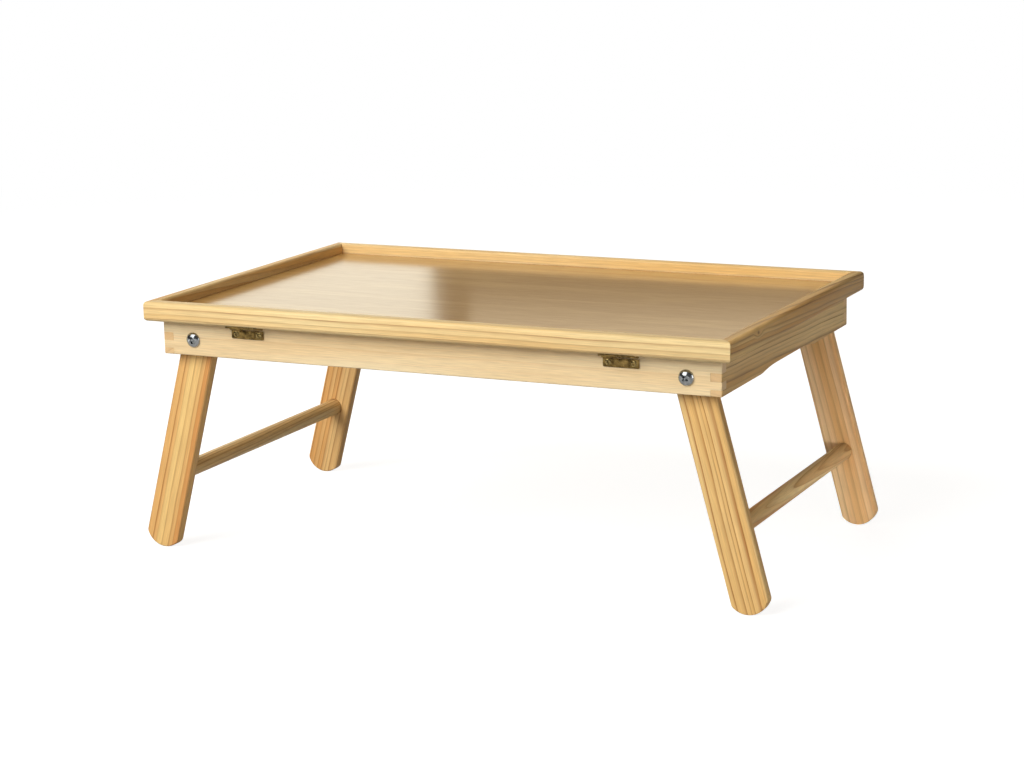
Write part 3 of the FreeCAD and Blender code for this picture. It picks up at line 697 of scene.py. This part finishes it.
def makeLeaf(leaf, side, look):
    place = hingePlace(leaf, side)
    half, pitch, corner = look["length"] / 2, look["length"] / look["knuckles"], look["corner"]
    neck = -look["knuckleRadius"] - look["neckGap"]
    shape = bmesh.new()
    outline = arcPoints((-half + corner, -look["leafWidth"] + corner), corner, 180, 270, 4)
    outline += arcPoints((half - corner, -look["leafWidth"] + corner), corner, 270, 360, 4)
    outline += [Vector((half, neck)), Vector((-half, neck))]
    easedBar(shape, outline, look["thickness"], look["edgeRound"],
             lambda u, w, depth: place(u, leafPlane + depth, w), steps=2)
    bossHalf = look["bossLength"] / 2
    top, low = neck - look["bossTop"], -look["leafWidth"] + look["bossFoot"]
    boss = [Vector(corner) for corner in (
        (-bossHalf, top), (-bossHalf, low), (bossHalf, low), (bossHalf, top))]
    easedBar(shape, boss, look["thickness"], look["bossHeight"],
             lambda u, w, depth: place(u, leafPlane - look["bossHeight"] + depth, w), steps=3)
    rootY, rootZ = leafPlane + look["rollSkin"], neck - look["rollLap"]
    end, rollSteps = look["rollEnd"], look["rollSteps"]
    roll = [Vector((rootY, rootZ)), Vector((look["offset"], rootZ)), Vector((look["offset"], -0.2))]
    roll += arcPoints((0, 0), look["knuckleRadius"], 0, end, rollSteps)
    roll += arcPoints((0, 0), look["boreRadius"], end, 0, rollSteps)
    roll += [Vector((rootY, -0.3))]
    for index in range(0 if leaf == "lower" else 1, look["knuckles"], 2):
        start = -half + index * pitch + look["gap"] / 2
        rings = [[shape.verts.new(place(x, p.x, p.y)) for p in roll]
                 for x in (start, start + pitch - look["gap"])]
        bridge(shape, rings)
        shape.faces.new(rings[0])
        shape.faces.new(rings[1])
    cutters = []
    sink = [(0, -0.5), (look["countersink"], -0.5), (look["countersink"], 0.0),
            (hingeScrewLook["shank"], look["sinkDepth"]), (0, look["sinkDepth"])]
    for x in (-look["screwSpacing"] / 2, look["screwSpacing"] / 2):
        cutter = bmesh.new()
        turned(cutter, sink, lambda u, along, w: place(x + u, leafPlane + along, screwLine + w), steps=32)
        cutters.append(cutter)
    node = "hinge_%s_leaf_%s" % (leaf, side)
    body = "frame" if leaf == "lower" else "tray"
    piece = newPiece(node + "_rolled", shape, brass, body, "hinge_brass", node)
    carve(piece, cutters)
    smooth(piece, 30)


def makeHingeScrews(leaf, look):
    head, shank, dome, length = (look[key] for key in ("head", "shank", "dome", "length"))
    profile = [(0, -length), (shank * 0.3, -length + 0.5), (shank, -length + look["taper"]),
               (shank, -1.2), (head, -0.05), (head, 0.05), (head * 0.8, dome * 0.6),
               (head * 0.4, dome * 0.92), (0, dome)]
    shape = bmesh.new()
    cutters = []
    turns = iter(look["turns"])
    for side in ("left", "right"):
        hinge = hingePlace(leaf, side)
        for x in (-hingeLook["screwSpacing"] / 2, hingeLook["screwSpacing"] / 2):
            def place(u, along, w):
                return hinge(x + u, leafPlane - along, screwLine + w)

            turned(shape, profile, place, steps=32)
            cutters.append(crossCutter(look, next(turns), lambda u, along, w: place(u, dome + along, w)))
    node = "hinge_%s_screws" % leaf
    body = "frame" if leaf == "lower" else "tray"
    screws = newPiece(node + "_cross_head", shape, screwBrass, body, "brass_screw", node)
    carve(screws, cutters)
    smooth(screws)


for leaf in ("lower", "upper"):
    for side in ("left", "right"):
        makeLeaf(leaf, side, hingeLook)
    makeHingeScrews(leaf, hingeScrewLook)

print("eased edges")

edgeBreaks = {"rail": 0.25, "rim": 0.2}       # width of the broken edges in millimetres


def easeEdges(node, width):
    piece = frame["nodes"][node]
    weld = piece.modifiers.new("weld", "WELD")
    weld.merge_threshold = 1e-6
    flat = piece.modifiers.new("flat", "DECIMATE")
    flat.decimate_type, flat.angle_limit = "DISSOLVE", math.radians(0.5)
    ease = piece.modifiers.new("ease", "BEVEL")
    ease.width, ease.segments = width * mm, 2
    ease.limit_method, ease.angle_limit = "ANGLE", math.radians(40)
    ease.use_clamp_overlap = False
    ease.harden_normals = True


for board, width in edgeBreaks.items():
    for side in ("front", "back", "left", "right"):
        easeEdges("%s_%s" % (board, side), width)

print("floor and light")

floorLook = {"shade": 0.34, "glow": 0.87, "bounce": 0.4, "mirror": 0.15, "fadeStart": 0.7, "fadeEnd": 2.4}


def makeFloor(look):
    bpy.ops.mesh.primitive_plane_add(size=60.0, location=(0, 0, 0))
    floor = bpy.context.object
    floor.name = "studioFloor"
    material, tree = newMaterial("paperSweep")
    path = add(tree, "ShaderNodeLightPath")
    place = add(tree, "ShaderNodeTexCoord")
    reach = add(tree, "ShaderNodeVectorMath", {0: place.outputs["Object"]}, operation="LENGTH")
    far = add(tree, "ShaderNodeMapRange", {
        "Value": reach.outputs["Value"], "From Min": look["fadeStart"], "From Max": look["fadeEnd"]},
        interpolation_type="SMOOTHERSTEP")
    albedo = add(tree, "ShaderNodeMapRange", {
        "Value": path.outputs["Is Camera Ray"], "To Min": look["bounce"], "To Max": look["shade"]})
    paper = add(tree, "ShaderNodeBsdfDiffuse", {"Color": albedo.outputs[0]})
    glow = add(tree, "ShaderNodeMath", {0: path.outputs["Is Camera Ray"], 1: look["glow"]},
               operation="MULTIPLY")
    mirrored = add(tree, "ShaderNodeMath", {
        0: path.outputs["Is Glossy Ray"], 1: path.outputs["Is Transmission Ray"]}, operation="MAXIMUM")
    strength = add(tree, "ShaderNodeMath", {0: mirrored.outputs[0], 1: look["mirror"], 2: glow.outputs[0]},
                   operation="MULTIPLY_ADD")
    shine = add(tree, "ShaderNodeEmission", {"Color": gray(1.0), "Strength": strength.outputs[0]})
    near = add(tree, "ShaderNodeAddShader", {0: paper.outputs[0], 1: shine.outputs[0]})
    white = add(tree, "ShaderNodeEmission", {"Color": gray(1.0), "Strength": 1.0})
    farSeen = add(tree, "ShaderNodeMath", {0: far.outputs[0], 1: path.outputs["Is Camera Ray"]},
                  operation="MULTIPLY")
    both = add(tree, "ShaderNodeMixShader", {0: farSeen.outputs[0], 1: near.outputs[0], 2: white.outputs[0]})
    add(tree, "ShaderNodeOutputMaterial", {"Surface": both.outputs[0]})
    floor.data.materials.append(material)


lamps = {
    # angles in degrees from the front and from the floor, sizes in metres
    "keySoftbox": dict(azimuth=-27, elevation=35, distance=5.5, width=3.8, height=3.6, radiance=7.6,
                       mirrored=False),
    # what varnish and bolts mirror in its place: weaker, or the panel burns out in a view from behind
    "keyReflection": dict(azimuth=-27, elevation=35, distance=5.0, width=3.45, height=3.27, radiance=2.8,
                          lighting=False),
    "frontFill": dict(azimuth=4, elevation=3, distance=2.4, width=2.0, height=0.4, radiance=0.6),
    "sideFill": dict(azimuth=72, elevation=8, distance=1.8, width=1.2, height=0.9, radiance=1.9,
                     aim=(0.22, -0.16, 0.15)),
    "legFill": dict(azimuth=40, elevation=1, distance=1.0, width=0.25, height=0.15, radiance=0.65,
                    aim=(0.262, 0.13, 0.04), spread=16),
    "glareSoftbox": dict(azimuth=-140, elevation=14, distance=2.0, width=0.9, height=1.0, radiance=1.64,
                         aim=(-0.075, 0.0, 0.2), tint="#f7f6e6"),
    "backWall": dict(azimuth=-165.6, elevation=34, distance=0.75, width=0.4, height=0.6, radiance=1.05,
                     aim=(0.0, 0.0, 0.2), tint="#fff2d4"),
}


def softbox(name, azimuth, elevation, distance, width, height, radiance,
            aim=(0, 0, 0.15), tint="#ffffff", spread=180, lighting=True, mirrored=True):
    a, e = math.radians(azimuth), math.radians(elevation)
    toLight = Vector((math.sin(a) * math.cos(e), -math.cos(a) * math.cos(e), math.sin(e)))
    data = bpy.data.lights.new(name, "AREA")
    data.shape = "RECTANGLE"
    data.size = width
    data.size_y = height
    data.energy = radiance * math.pi * width * height
    data.color = hexColor(tint)[:3]
    data.spread = math.radians(spread)
    lamp = bpy.data.objects.new(name, data)
    bpy.context.scene.collection.objects.link(lamp)
    lamp.location = Vector(aim) + toLight * distance
    lamp.rotation_euler = toLight.to_track_quat("Z", "Y").to_euler()
    lamp.visible_camera = False
    lamp.visible_diffuse = lighting
    lamp.visible_glossy = mirrored


worldLook = {"tint": "#fff3e0", "ambient": 0.17, "mirrored": 0.08, "backdrop": 1.0}


def makeWorld(look):
    world = bpy.data.worlds.new("whiteStudio")
    bpy.context.scene.world = world
    world.use_nodes = True
    tree = world.node_tree
    tree.nodes.clear()
    path = add(tree, "ShaderNodeLightPath")
    ambient = add(tree, "ShaderNodeBackground", {
        "Color": hexColor(look["tint"]), "Strength": look["ambient"]})
    mirrored = add(tree, "ShaderNodeBackground", {"Color": gray(1.0), "Strength": look["mirrored"]})
    backdrop = add(tree, "ShaderNodeBackground", {"Color": gray(1.0), "Strength": look["backdrop"]})
    through = add(tree, "ShaderNodeMath", {
        0: path.outputs["Is Glossy Ray"], 1: path.outputs["Is Transmission Ray"]}, operation="MAXIMUM")
    first = add(tree, "ShaderNodeMixShader", {
        0: through.outputs[0], 1: ambient.outputs[0], 2: mirrored.outputs[0]})
    second = add(tree, "ShaderNodeMixShader", {
        0: path.outputs["Is Camera Ray"], 1: first.outputs[0], 2: backdrop.outputs[0]})
    add(tree, "ShaderNodeOutputWorld", {"Surface": second.outputs[0]})


makeFloor(floorLook)
makeWorld(worldLook)
for name, lamp in lamps.items():
    softbox(name, **lamp)
bpy.context.scene.view_settings.view_transform = "Standard"
